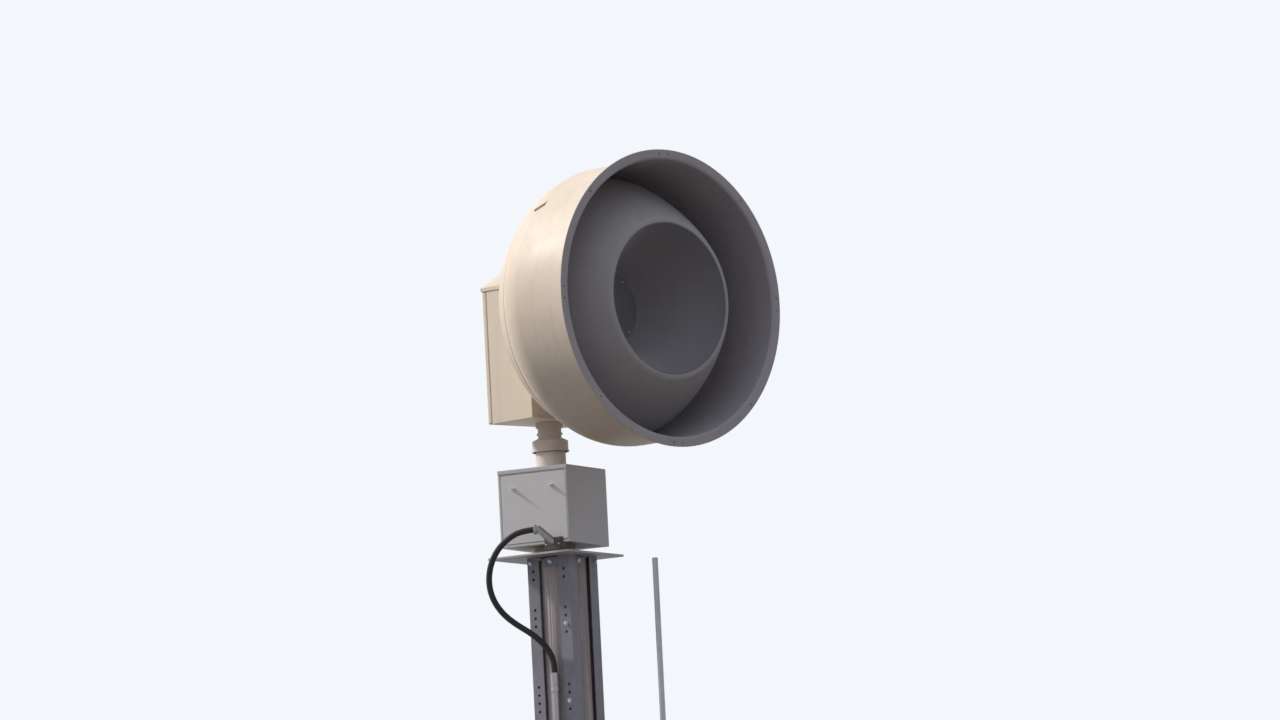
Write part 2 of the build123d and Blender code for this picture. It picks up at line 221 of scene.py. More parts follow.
def turned_piece(name, profile, steps=128):
    """Spins a closed profile of (depth, radius) about the horn's axis, with the mouth at depth 0."""
    clear()
    bpy.ops.mesh.primitive_plane_add(size=0.01)
    piece = named(name)
    mesh = edit(piece, "VERT")
    for vert in list(mesh.verts)[1:]:
        mesh.verts.remove(vert)
    start = list(mesh.verts)[0]
    start.co = (-profile[0][0], 0, profile[0][1])
    start.select_set(True)
    bmesh.update_edit_mesh(piece.data)
    for before, here in zip(profile, profile[1:]):
        extrude((before[0] - here[0], 0, here[1] - before[1]))
    tidy(piece, 1e-6)
    select_verts(piece, lambda vert: len(vert.link_edges) == 1)
    bpy.ops.mesh.edge_face_add()
    bpy.ops.mesh.select_all(action="SELECT")
    bpy.ops.mesh.spin(steps=steps, angle=2 * pi, center=(0, 0, 0), axis=(1, 0, 0), use_auto_merge=True)
    return tidy(piece, 1e-6)


# Points of profiles
def swept(centre, radius, first, sweep, count):
    """Points on an arc about a centre, from a first angle through a sweep."""
    return [(centre[0] + radius * cos(first + sweep * i / count),
             centre[1] + radius * sin(first + sweep * i / count)) for i in range(count + 1)]


def three_point(start, through, end, count):
    """Points on the arc from start to end through a middle point."""
    (ax, ay), (bx, by), (cx, cy) = start, through, end
    scale = 2 * (ax * (by - cy) + bx * (cy - ay) + cx * (ay - by))
    a2, b2, c2 = ax * ax + ay * ay, bx * bx + by * by, cx * cx + cy * cy
    ux = (a2 * (by - cy) + b2 * (cy - ay) + c2 * (ay - by)) / scale
    uy = (a2 * (cx - bx) + b2 * (ax - cx) + c2 * (bx - ax)) / scale
    first = atan2(ay - uy, ax - ux)
    sweep = (atan2(cy - uy, cx - ux) - first + pi) % (2 * pi) - pi
    return swept((ux, uy), hypot(ax - ux, ay - uy), first, sweep, count)


# Shader helpers
def node(tree, kind, links=(), **settings):
    """Adds a node, sets properties or sockets by name, and feeds sockets from others or with numbers."""
    made = tree.nodes.new("ShaderNode" + kind)
    for key, value in settings.items():
        label = key.replace("_", " ").title() if key[0].isupper() else key
        if label in made.inputs:
            made.inputs[label].default_value = value
        else:
            setattr(made, key, value)
    for target, source in links:
        if isinstance(source, bpy.types.NodeSocket):
            tree.links.new(source, made.inputs[target])
        else:
            made.inputs[target].default_value = source
    return made


def ramp(tree, source, low, high):
    return node(tree, "MapRange", [("Value", source)], From_Min=low, From_Max=high).outputs[0]


def scaled(tree, source, factor):
    return node(tree, "Math", [(0, source), (1, factor)], operation="MULTIPLY").outputs[0]


def mixed(tree, share, low, high):
    """Mixes two colours, each a socket or a plain value."""
    low, high = ((*value, 1) if isinstance(value, tuple) else value for value in (low, high))
    return node(tree, "Mix", [(0, share), (6, low), (7, high)], data_type="RGBA").outputs[2]


def group(name, numbers, outputs):
    """An empty node group that takes a vector and the named numbers, and gives the named values."""
    tree = bpy.data.node_groups.new(name, "ShaderNodeTree")
    tree.interface.new_socket("Vector", in_out="INPUT", socket_type="NodeSocketVector")
    for label, default in numbers.items():
        socket = tree.interface.new_socket(label, in_out="INPUT", socket_type="NodeSocketFloat")
        socket.default_value = default
    for label in outputs:
        tree.interface.new_socket(label, in_out="OUTPUT", socket_type="NodeSocketFloat")
    return tree, tree.nodes.new("NodeGroupInput").outputs, tree.nodes.new("NodeGroupOutput").inputs


def make_mottle():
    """Broad and fine blotches: a mask of uneven fading and a height for a soft bump."""
    tree, given, result = group("Mottle", {"Scale": 4, "Fine Scale": 60}, ("Broad", "Fine"))
    broad = node(tree, "TexNoise", [("Vector", given[0]), ("Scale", given[1])], Detail=5, Roughness=0.6)
    fine = node(tree, "TexNoise", [("Vector", given[0]), ("Scale", given[2])], Detail=6, Roughness=0.7)
    tree.links.new(ramp(tree, broad.outputs[0], 0.3, 0.7), result[0])
    tree.links.new(ramp(tree, fine.outputs[0], 0.25, 0.75), result[1])
    return tree


def make_streaks():
    """Vertical rain streaks, long in Z and narrow sideways."""
    tree, given, result = group("Rain Streaks", {"Width": 40, "Length": 1.5, "Cover": 0.55}, ("Mask",))
    edge = 0.22
    scale = node(tree, "CombineXYZ", [("X", given[1]), ("Y", given[1]), ("Z", given[2])])
    spread = node(tree, "VectorMath", [(0, given[0]), (1, scale.outputs[0])], operation="MULTIPLY")
    noise = node(tree, "TexNoise", [("Vector", spread.outputs[0])], Scale=1, Detail=4, Roughness=0.6)
    high = node(tree, "Math", [(0, given[3]), (1, edge)], operation="ADD")
    mask = node(tree, "MapRange", [("Value", noise.outputs[0]), ("From Min", given[3]),
                                   ("From Max", high.outputs[0])], interpolation_type="SMOOTHSTEP")
    tree.links.new(mask.outputs[0], result[0])
    return tree


def make_spangle():
    """Zinc crystals of hot-dip galvanizing."""
    tree, given, result = group("Zinc Spangle", {"Scale": 90}, ("Tone",))
    unevenness = 0.012
    warp = node(tree, "TexNoise", [("Vector", given[0])], Scale=35, Detail=3)
    move = node(tree, "VectorMath", [(0, warp.outputs["Color"]), ("Scale", unevenness)], operation="SCALE")
    moved = node(tree, "VectorMath", [(0, given[0]), (1, move.outputs[0])], operation="ADD")
    cells = node(tree, "TexVoronoi", [("Vector", moved.outputs[0]), ("Scale", given[1])])
    tree.links.new(cells.outputs["Color"], result[0])
    return tree


mottle_group = make_mottle()
streak_group = make_streaks()
spangle_group = make_spangle()


def add_group(tree, source, spot, **values):
    """Places a node group on the object's coordinates and gives its outputs."""
    numbers = [(key.replace("_", " "), value) for key, value in values.items()]
    return node(tree, "Group", [("Vector", spot)] + numbers, node_tree=source).outputs


def shaded(name, specular, metallic=0.0):
    """A new material with its Principled shader and the object's own coordinates."""
    material = bpy.data.materials.new(name)
    material.use_nodes = True
    tree = material.node_tree
    shader = tree.nodes["Principled BSDF"]
    shader.inputs["Metallic"].default_value = metallic
    shader.inputs["Specular IOR Level"].default_value = specular
    return material, tree, shader, node(tree, "TexCoord").outputs["Object"]


def finish_surface(tree, shader, colour, rough_source, rough, height, distance):
    """Links the colour, a roughness between two limits and a bump."""
    tree.links.new(colour, shader.inputs["Base Color"])
    spread = node(tree, "MapRange", [("Value", rough_source)], To_Min=rough[0], To_Max=rough[1])
    tree.links.new(spread.outputs[0], shader.inputs["Roughness"])
    bump = node(tree, "Bump", [("Height", height)], Strength=1.0, Distance=distance)
    tree.links.new(bump.outputs[0], shader.inputs["Normal"])


def funnel_reach(tree, spot):
    """0 at the horn's mouth and 1 at its throat: the share of the funnel's painted light, which offsets the
    shade deep in the funnel.
    """
    inward = head_matrix.to_3x3() @ Vector((-1, 0, 0))
    mouth = inward.dot(rotor) - mouth_reach
    level = node(tree, "VectorMath", [(0, spot), (1, inward)], operation="DOT_PRODUCT")
    return ramp(tree, level.outputs["Value"], mouth, mouth + funnel_depth)


def painted(name, colour, faded, dirt, rough=(0.46, 0.68), streak_width=28, streak_cover=0.46, bump=0.0003,
            throat_painted_light=None):
    """Weathered paint or gelcoat: faded blotches, rain streaks and a faint orange peel."""
    material, tree, shader, spot = shaded(name, 0.4)
    speck_share, streak_share = 0.12, 0.14
    broad, fine = add_group(tree, mottle_group, spot, Scale=3.0, Fine_Scale=90.0)
    streaks = add_group(tree, streak_group, spot, Width=streak_width, Length=1.6, Cover=streak_cover)[0]
    base = mixed(tree, broad, colour, faded)
    speck = mixed(tree, scaled(tree, fine, speck_share), base, dirt)
    surface = mixed(tree, scaled(tree, streaks, streak_share), speck, dirt)
    # Painted light: towards the horn's throat the colour turns lighter, to offset the shade deep in the
    # funnel.
    if throat_painted_light:
        surface = mixed(tree, funnel_reach(tree, spot), surface, throat_painted_light)
    finish_surface(tree, shader, surface, broad, rough, fine, bump)
    return material


def zinc(name, colour, dark, rough=(0.38, 0.62), metallic=0.75, scale=85.0):
    """Dull hot-dip galvanizing with crystals, darker clouds and grime."""
    material, tree, shader, spot = shaded(name, 0.4, metallic)
    crystal_share, cloud_share, grime_share = 0.45, 0.5, 0.35
    crystals = add_group(tree, spangle_group, spot, Scale=scale)[0]
    broad, fine = add_group(tree, mottle_group, spot, Scale=6.0, Fine_Scale=140.0)
    streaks = add_group(tree, streak_group, spot, Width=45.0, Length=2.5, Cover=0.5)[0]
    base = mixed(tree, scaled(tree, crystals, crystal_share), colour, dark)
    cloudy = mixed(tree, scaled(tree, broad, cloud_share), base, dark)
    surface = mixed(tree, scaled(tree, streaks, grime_share), cloudy, dark)
    finish_surface(tree, shader, surface, fine, rough, fine, 0.0004)
    return material


def grain(tree, spot, along, **settings):
    """Noise drawn out along the pole."""
    stretch = node(tree, "Mapping", [("Vector", spot)], Scale=(1, 1, along))
    return node(tree, "TexNoise", [("Vector", stretch.outputs[0])], **settings).outputs[0]


def weathered_wood():
    material, tree, shader, spot = shaded("treated pine", 0.25)
    gray_share, fibre_share = 0.45, 0.6
    fibres = grain(tree, spot, 0.02, Scale=260, Detail=5, Roughness=0.65)
    bands = grain(tree, spot, 0.06, Scale=34, Detail=6, Roughness=0.6)
    broad, fine = add_group(tree, mottle_group, spot, Scale=1.6, Fine_Scale=40.0)
    base = mixed(tree, ramp(tree, bands, 0.35, 0.68), (0.42, 0.355, 0.34), (0.74, 0.655, 0.62))
    gray = mixed(tree, scaled(tree, broad, gray_share), base, (0.58, 0.52, 0.50))
    cracks = scaled(tree, ramp(tree, fibres, 0.5, 0.75), fibre_share)
    finish_surface(tree, shader, mixed(tree, cracks, gray, (0.13, 0.10, 0.085)), fine, (0.7, 0.95), fibres,
                   0.003)
    return material


def jacket():
    material, tree, shader, spot = shaded("black jacket", 0.25)
    broad, fine = add_group(tree, mottle_group, spot, Scale=9.0, Fine_Scale=220.0)
    surface = mixed(tree, broad, (0.026, 0.021, 0.026), (0.058, 0.048, 0.056))
    finish_surface(tree, shader, surface, broad, (0.5, 0.7), fine, 0.0003)
    return material


# Finishes: paints have a colour, a faded one and dirt, zinc has a colour and a dark one
pipe_streaks = dict(streak_width=60, streak_cover=0.48)
enamel = dict(rough=(0.4, 0.6), streak_width=60, streak_cover=0.6, bump=0.0002)
cream = painted("cream gelcoat", (0.83, 0.70, 0.55), (0.88, 0.765, 0.63), (0.48, 0.37, 0.275))
cream_metal = painted("cream panel paint", (0.84, 0.72, 0.56), (0.88, 0.765, 0.62), (0.48, 0.375, 0.27),
                      streak_width=45)
# Painted shade: the panel cream darkened for the housing's front panel.
front_panel_painted_shade = painted("cream paint with painted shade", (0.54, 0.46, 0.39), (0.60, 0.52, 0.45), (0.32, 0.265, 0.22),
                      streak_width=45)
olive_paint = painted("olive pedestal paint", (0.42, 0.38, 0.25), (0.50, 0.45, 0.31), (0.20, 0.17, 0.12),
                      **pipe_streaks)
cream_pipe = painted("cream pipe paint", (0.72, 0.645, 0.58), (0.79, 0.715, 0.65), (0.38, 0.315, 0.26),
                     **pipe_streaks)
# Painted shade: the horn's cream darkened for the faces inside the bell and the rim that look towards the
# horn's axis.
inside = painted("shaded gelcoat", (0.47, 0.44, 0.465), (0.52, 0.49, 0.505), (0.31, 0.28, 0.285),
                 rough=(0.5, 0.75), streak_width=22)
# Funnel: its dark colour is painted shade, turning to a lighter painted light towards the throat.
funnel_dark = painted("funnel gelcoat with painted shade and light", (0.20, 0.188, 0.20), (0.23, 0.216, 0.228), (0.12, 0.11, 0.117),
                      rough=(0.55, 0.8), streak_width=30, throat_painted_light=(0.56, 0.53, 0.545))
throat_dark = painted("throat coat", (0.24, 0.225, 0.24), (0.28, 0.265, 0.28), (0.14, 0.13, 0.135))
# Painted shade: the horn's cream darkened to a gray for the rim's face.
rim_painted_shade = painted("rim gelcoat with painted shade", (0.50, 0.455, 0.455), (0.56, 0.515, 0.51), (0.31, 0.28, 0.275))
# Painted shade: the horn's cream darkened for the plug inside the mouth.
plug_painted_shade = painted("plug gelcoat with painted shade", (0.46, 0.43, 0.425), (0.51, 0.48, 0.47), (0.30, 0.27, 0.265))
box_gray = painted("box gray enamel", (0.70, 0.68, 0.68), (0.75, 0.725, 0.72), (0.26, 0.24, 0.22), **enamel)
cover_gray = painted("cover gray enamel", (0.83, 0.80, 0.79), (0.86, 0.83, 0.82), (0.28, 0.26, 0.24),
                     **enamel)
# A dark zinc for the legs, clips, arms and rim screws.
galvanized = zinc("dark galvanizing", (0.27, 0.258, 0.285), (0.17, 0.16, 0.18), (0.5, 0.7), 0.35)
plate_zinc = zinc("plate galvanizing", (0.38, 0.355, 0.36), (0.25, 0.225, 0.22), (0.5, 0.7), 0.2)
plate_edge_painted_light = zinc("lit plate edge", (0.66, 0.60, 0.57), (0.50, 0.45, 0.42), (0.5, 0.7), 0.1)
# Painted reflection: a light zinc that stands in for the bright sky the mast reflects.
mast_painted_reflection = zinc("galvanizing lightened for painted reflection", (0.64, 0.64, 0.66), (0.43, 0.43, 0.45), (0.3, 0.5), 0.25)
bright_zinc = zinc("bright zinc", (0.66, 0.67, 0.70), (0.36, 0.37, 0.39), (0.25, 0.5), scale=140.0)
conduit_zinc = zinc("conduit galvanizing", (0.42, 0.41, 0.42), (0.27, 0.26, 0.27), (0.28, 0.42), 0.6, 140.0)
cast_brown = zinc("weathered casting", (0.15, 0.125, 0.11), (0.06, 0.05, 0.045), (0.6, 0.85), 0.4)
die_cast = zinc("die-cast gland", (0.36, 0.36, 0.36), (0.20, 0.19, 0.19), metallic=0.6)
wood = weathered_wood()
black = jacket()


def paint(piece, material):
    piece.data.materials.clear()
    piece.data.materials.append(material)


def paint_two(piece, material, second, test):
    """Paints a piece, and the faces whose centre and normal pass the test with a second material."""
    paint(piece, material)
    piece.data.materials.append(second)
    for face in piece.data.polygons:
        face.material_index = int(test(face.center, face.normal))


def dressed(piece, material, body, slot_name, *nodes, angle=35):
    """Finishes a modelled piece: shading, material, the body it rides on and the nodes it stands for."""
    smooth(piece, angle)
    modify(piece, "WEIGHTED_NORMAL", keep_sharp=True)
    if not piece.data.materials:
        paint(piece, material)
    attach(piece, body)
    if nodes:
        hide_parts(*nodes)


# Body and slot that many pieces share
steel = ("mast", "galvanized_steel")
head_metal = ("head", "beige_metal")

# Nodes that show as they are; the housing's front panel takes a cream darkened for painted shade
for node_name, finish in (("conduit_straps", bright_zinc), ("rigid_conduit", conduit_zinc),
                          ("housing_floor", cream_metal), ("housing_front_panel", front_panel_painted_shade),
                          ("throat_duct", cream)):
    paint(frame["nodes"][node_name], finish)


# Fasteners, modelled along +Z from Z = 0
def facing(position, normal, spin=0.0):
    """Matrix that puts a fastener at a place with its head along a normal."""
    turn = Vector(normal).to_track_quat("Z", "Y").to_matrix().to_4x4()
    return Matrix.Translation(position) @ turn @ Matrix.Rotation(spin, 4, "Z")


def hex_bolt(name, across, height, washer=0.0, washer_height=0.002):
    """Hexagonal head, on a round washer where one is given."""
    base = washer_height if washer else 0.0
    head = bevel(cylinder(name, across / sqrt(3), base, base + height, 6), across * 0.05)
    if not washer:
        return head
    disc = bevel(cylinder(name + "_washer", washer / 2, 0, washer_height, 28), washer_height * 0.3, 1)
    return join(name, [head, disc])


def dome_screw(name, diameter, height):
    head = sphere(name, diameter / 2, (0, 0, 0), 20, 12)
    select_verts(head, lambda vert: vert.co.z < -1e-6)
    bpy.ops.mesh.delete(type="VERT")
    return place(head, Matrix.Diagonal((1, 1, 2 * height / diameter, 1)))


def fasteners(model, spots, material, body, slot_name, angle=30):
    """One piece with a copy of the model at each spot, under the model's name."""
    dressed(repeated(model, spots), material, body, slot_name, angle=angle)


# Horn: every profile is (depth behind the mouth, radius)
wall = 0.005
bell_radius, bell_end_radius = 0.643, 0.597
bell_straight, bell_length = 0.340, 0.480
rim_bend = 0.013
shoulder_run, shoulder_drop = bell_length - bell_straight, bell_radius - bell_end_radius
shoulder_curve = (shoulder_run ** 2 + shoulder_drop ** 2) / (2 * shoulder_drop)
horn_matrix = head_matrix @ Matrix.Translation((mouth_reach, 0, horn_height))


def on_circle(radius, angle, depth):
    """Point on a circle about the horn's axis, 0 degrees to its left and 90 up."""
    turn = radians(angle)
    return Vector((-depth, radius * cos(turn), radius * sin(turn)))


def on_horn(radius, angles, depth):
    """Places for fasteners that look out of the horn's mouth."""
    return [horn_matrix @ facing(on_circle(radius, angle, depth), (1, 0, 0)) for angle in angles]


def horn_piece(piece, material, *nodes, slot_name="beige_fiberglass", angle=40):
    """Puts a turned piece at its place on the head and finishes it."""
    dressed(place(piece, horn_matrix), material, "head", slot_name, *nodes, angle=angle)


def shifted(points, step):
    """The same profile at another radius."""
    return [(depth, radius + step) for depth, radius in points]


def horn_bell():
    """Bell with a rounded shoulder, with painted shade on the side that looks at the horn's axis."""
    outer = [(rim_bend, bell_radius)] + swept((bell_straight, bell_radius - shoulder_curve), shoulder_curve,
                                              pi / 2, -2 * atan2(shoulder_drop, shoulder_run), 10)
    piece = turned_piece("bell", outer + shifted(outer, -wall)[::-1])
    paint_two(piece, cream, inside, lambda centre, normal: normal.y * centre.y + normal.z * centre.z
              < -0.2 * hypot(centre.y, centre.z))
    bell_nodes = [name for name in frame["nodes"] if name.startswith("bell_")]
    horn_piece(piece, cream, *bell_nodes)


def horn_rim():
    centre = (rim_bend, bell_radius - wall + rim_bend)
    edge = 0.0015
    outline = swept(centre, rim_bend, pi, pi / 2, 6)[::-1]
    outline += [(0, rim_radius - edge), (edge, rim_radius), (wall - edge, rim_radius),
                (wall, rim_radius - edge)] + swept(centre, rim_bend - wall, pi, pi / 2, 6)
    piece = turned_piece("rim", outline)
    # The rim's front is in painted shade, and its faces towards the axis take the shaded gelcoat, also
    # painted shade.
    paint_two(piece, rim_painted_shade, inside,
              lambda centre, normal: centre.y * normal.y + centre.z * normal.z < -0.02)
    horn_piece(piece, rim_painted_shade, "mouth_rim")


def shoulder_lip():
    """Small raised lip on the bell's shoulder that runs out upwards, its lower end in shade."""
    front, length, height, sunk = 0.322, 0.044, 0.010, 0.002
    lower, slant, sweep = 136.0, 3.0, 3.5
    piece = block("shoulder_lip", (0, 0, 0), (1, 1, 1))
    select_edges(piece, lambda middle, way: True)
    bpy.ops.mesh.subdivide(number_cuts=7)
    clear()
    for vert in piece.data.vertices:
        along, round_way, proud = vert.co
        depth = front + length * along
        past = max(depth - bell_straight, 0)
        skin = bell_radius - shoulder_curve + sqrt(shoulder_curve ** 2 - past ** 2)
        raised = height * proud * (1 - round_way)
        vert.co = on_circle(skin - sunk + raised, lower + slant * along - sweep * round_way, depth)
    horn_piece(tidy(piece), cream, angle=35)


def rim_fasteners():
    """Pairs at the four quarters and one between each, as on the photographed rim."""
    bolt_circle, pair_spread = 0.665, 2.4
    angles = [quarter + side * pair_spread for quarter in (0, 90, 180, 270) for side in (-1, 1)]
    spots = on_horn(bolt_circle, angles + [45, 135, 225, 315], 0.0)
    fasteners(dome_screw("rim_fasteners", diameter=0.012, height=0.0035), spots, galvanized, "head",
              "beige_fiberglass", 50)


def horn_rear_shell():
    """Flange against the bell's end, a short cone, a sharp edge and the dish down to the duct."""
    flange_end = bell_length + 0.006
    flange_width, corner = 0.022, 0.001
    cone_radius, edge_depth, edge_radius = 0.591, 0.570, 0.547
    duct_depth, duct_radius = 0.650, 0.150
    dish = 8
    outline = [(bell_length, bell_end_radius - flange_width), (bell_length, bell_end_radius - corner),
               (bell_length + corner, bell_end_radius), (flange_end - corner, bell_end_radius),
               (flange_end, bell_end_radius - corner), (flange_end, cone_radius),
               (edge_depth - 0.006, edge_radius + 0.003), (edge_depth - 0.002, edge_radius + 0.0005)]
    rounded = edge_radius - 0.003
    outline += [(edge_depth + (duct_depth - edge_depth) * i / dish,
                 rounded + (duct_radius - rounded) * i / dish) for i in range(dish + 1)]
    outline += [(duct_depth - wall, duct_radius), (edge_depth - wall, edge_radius - wall),
                (flange_end, cone_radius - wall), (flange_end, bell_end_radius - flange_width)]
    horn_piece(turned_piece("rear_shell_skin", outline), cream, "rear_shell", angle=25)


def horn_plug():
    """Bowed plug that rounds over at its nose towards the funnel."""
    nose, flank, shoulder, end = (0.025, 0.382), (0.110, 0.450), (0.345, 0.590), (0.400, 0.604)
    lip, lip_middle, lip_width = (0.009, 0.358), (0.0145038, 0.3716641), 0.006
    outer = three_point(lip, lip_middle, nose, 5) + three_point(nose, flank, shoulder, 20)[1:] + [end]
    outline = [(lip[0], lip[1] - lip_width)] + outer + shifted(outer[5:], -wall)[::-1]
    horn_piece(turned_piece("plug", outline), plug_painted_shade, "inner_plug")


def horn_funnel():
    mouth, middle, deep = (0.009, 0.347), (0.2195, 0.242), (funnel_depth, 0.184)
    bore = three_point(mouth, middle, deep, 24)
    piece = turned_piece("funnel", bore + shifted(bore, wall)[::-1])
    horn_piece(piece, funnel_dark, "inner_funnel", slot_name="dark_funnel")


def throat_end():
    """Disc at the funnel's bottom with a raised ring and its bolts."""
    rim, step, bolt_circle, first_bolt = 0.189, 0.004, 0.166, 51.6
    ring_inside, ring_outside, slope = 0.052, 0.084, 0.002
    top = funnel_depth - step
    outline = [(funnel_depth, 0.0), (funnel_depth, ring_inside), (top, ring_inside + slope),
               (top, ring_outside - slope), (funnel_depth, ring_outside), (funnel_depth, rim),
               (funnel_depth + wall, rim), (funnel_depth + wall, 0.0)]
    piece = turned_piece("throat_disc", outline, 96)
    horn_piece(piece, throat_dark, "throat_plate", slot_name="dark_funnel")
    spots = on_horn(bolt_circle, [first_bolt + 90 * i for i in range(4)], funnel_depth)
    fasteners(hex_bolt("throat_bolts", across=0.008, height=0.006, washer=0.013), spots, bright_zinc, "head",
              "dark_funnel")


# Driver housing, in the head's own frame: X forward, Y left, Z up from the collar
sheet = 0.003
half_width = 0.230
housing_front, cap_bend, cover_seam, housing_rear = 0.135, -0.037, -0.134, -0.164
housing_bottom, eave = 0.113, 0.745
roof_slope = radians(29)
cap_fall = (housing_front - cap_bend) * tan(roof_slope)


def housing_side(side, node_name):
    low_y, high_y = sorted((side * half_width, side * (half_width - sheet)))
    piece = block(node_name + "_sheet", (cover_seam, low_y, housing_bottom), (cap_bend, high_y, eave))
    select_faces(piece, lambda centre, normal: normal.x > 0.9)
    extrude((housing_front - cap_bend, 0, 0))
    select_verts(piece, lambda vert: vert.co.x > housing_front - 0.001 and vert.co.z > eave - 0.001)
    bpy.ops.transform.translate(value=(0, 0, -cap_fall))
    dressed(place(bevel(piece, 0.0012), head_matrix), cream_metal, *head_metal, node_name)


def housing_back():
    seam_gap = 0.004
    piece = block("rear_cover_tray", (housing_rear, -half_width, housing_bottom),
                  (cover_seam - seam_gap, half_width, eave))
    bevel(piece, 0.006, 3, 60)
    dressed(place(piece, head_matrix), cream_metal, *head_metal, "housing_rear_cover")


def housing_roof():
    """Gabled cap with a lip all round, bent down over the housing's front."""
    overhang, lip = 0.004, 0.018
    wide = half_width + overhang
    piece = block("cap_sheet", (housing_rear - overhang, 0, eave - lip), (cap_bend, wide, eave))
    select_faces(piece, lambda centre, normal: normal.x > 0.9)
    extrude((housing_front - cap_bend, 0, -cap_fall))
    select_faces(piece, lambda centre, normal: normal.z < -0.8 or centre.x > housing_front - 0.001
                 or centre.y < 0.001)
    bpy.ops.mesh.delete(type="FACE")
    select_verts(piece, lambda vert: vert.co.y < 0.001
                 and vert.co.z > eave - lip * 0.5 - cap_fall * (vert.co.x > cap_bend + 0.001))
    bpy.ops.transform.translate(value=(0, 0, wide * tan(roof_slope)))
    modify(piece, "MIRROR", use_axis=(False, True, False), use_clip=True, merge_threshold=1e-4)
    tidy(piece)
    modify(piece, "SOLIDIFY", thickness=sheet, offset=-1, use_even_offset=True)
    dressed(place(bevel(piece, 0.0012), head_matrix), cream_metal, *head_metal, "housing_cap")


# Turning pipe, collar and neck
quarter_turns = [radians(45 + 90 * i) for i in range(4)]


def turning_pipe():
    """Pipe with a ring where it leaves the box's lid."""
    pipe_radius, ring_width, ring_height = 0.0695, 0.011, 0.008
    low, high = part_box("rotor_pipe")
    pipe = cylinder("pipe_tube", pipe_radius, low.z, high.z - 0.0006, 64, rotor.x)
    ring = cylinder("lid_ring", pipe_radius + ring_width, lid_top, lid_top + ring_height, 64, rotor.x)
    bevel(ring, 0.002, 3)
    dressed(join("pipe_tube", [pipe, ring]), cream_pipe, *head_metal, "rotor_pipe")


def collar_and_neck():
    """Collar with a lip at its foot and a short cone on top, the neck in it, and the neck's set screws."""
    low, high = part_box("pipe_collar")
    radius, neck_radius, lip_radius, lip_height = 0.083, 0.054, 0.0865, 0.008
    bush_radius, bush_height, screw_rise = 0.063, 0.026, 0.019
    shoulder, top = high.z + 0.001, high.z + 0.015
    collar = cylinder("collar", radius, low.z, top, 64, rotor.x)
    select_faces(collar, lambda centre, normal: normal.z > 0.9)
    extrude((0, 0, 0))
    shrink = neck_radius / radius
    bpy.ops.transform.resize(value=(shrink, shrink, 1), center_override=(rotor.x, 0, top))
    select_verts(collar, lambda vert: vert.co.z > top - 0.001
                 and hypot(vert.co.x - rotor.x, vert.co.y) > radius - 0.001)
    bpy.ops.transform.translate(value=(0, 0, shoulder - top))
    lip = cylinder("collar_lip", lip_radius, low.z, low.z + lip_height, 64, rotor.x)
    for part in (collar, lip):
        bevel(part, 0.0015, 2, 25)
    dressed(join("collar", [collar, lip]), cream_pipe, *head_metal, "pipe_collar")
    low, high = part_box("pipe_neck")
    neck = cylinder("neck", neck_radius, low.z, high.z, 48, rotor.x)
    bush = cylinder("neck_bush", bush_radius, high.z - bush_height, high.z, 48, rotor.x)
    bevel(bush, 0.002)
    dressed(join("neck", [neck, bush]), cream_pipe, *head_metal, "pipe_neck")
    spots = []
    for turn in quarter_turns:
        out = Vector((cos(heading + turn), sin(heading + turn), 0))
        spots.append(facing(Vector((rotor.x, rotor.y, top + screw_rise)) + out * (neck_radius - 0.001), out))
    fasteners(hex_bolt("neck_screws", across=0.010, height=0.006), spots, cream_pipe, *head_metal)


# Rotator box, in its own frame: centred on the pipe, Y towards its back
box_half = 0.182
box_turn = radians(4.4)
box_matrix = Matrix.Translation((rotor.x, 0, 0)) @ Matrix.Rotation(box_turn, 4, "Z")


def box_case():
    """Sheet-metal case, its front set back round the cover."""
    frame_width, recess = 0.011, 0.004
    piece = block("box_case", (-box_half, -box_half, box_low.z), (box_half, box_half, box_high.z))
    select_faces(piece, lambda centre, normal: normal.y < -0.9)
    bpy.ops.mesh.inset(thickness=frame_width, depth=0.0)
    extrude((0, recess, 0))
    dressed(place(bevel(piece, 0.0025, 3), box_matrix), box_gray, "mast", "box_gray", "rotator_box_body")


def box_cover():
    """Front cover with rounded corners on a black gasket."""
    left, right, edge = -0.1665, 0.1745, 0.007
    low, high = cover_low.z + edge, cover_high.z - edge
    front, inset = -box_half - 0.001, 0.002
    piece = block("cover_panel", (left, front, low), (right, front + 0.005, high))
    select_edges(piece, lambda middle, way: abs(way.y) > 0.9)
    bpy.ops.mesh.bevel(offset=0.009, segments=4)
    dressed(place(bevel(piece, 0.0012), box_matrix), cover_gray, "mast", "cover_gray", "rotator_box_cover")
    gasket = block("cover_gasket", (left + inset, front + 0.004, low + inset),
                   (right - inset, front + 0.0055, high - inset))
    dressed(place(gasket, box_matrix), black, "mast", "black_jacket")


def box_lid():
    """Lid with a folded lip over the front and a round way for the pipe."""
    thick, lip_thick, lip_drop, way_radius = 0.004, 0.002, 0.018, 0.0698
    slab = block("lid_sheet", (-box_half, -box_half, lid_top - thick), (box_half, box_half, lid_top))
    lip = block("lid_lip", (-box_half, -box_half - lip_thick, lid_top - lip_drop),
                (box_half, -box_half, lid_top))
    for part in (slab, lip):
        bevel(part, 0.0008)
    cut(slab, cylinder("lid_way", way_radius, lid_top - 0.02, lid_top + 0.02, 64))
    piece = join("lid_sheet", [slab, lip])
    dressed(place(piece, box_matrix), box_gray, "mast", "box_gray", "rotator_box_lid")


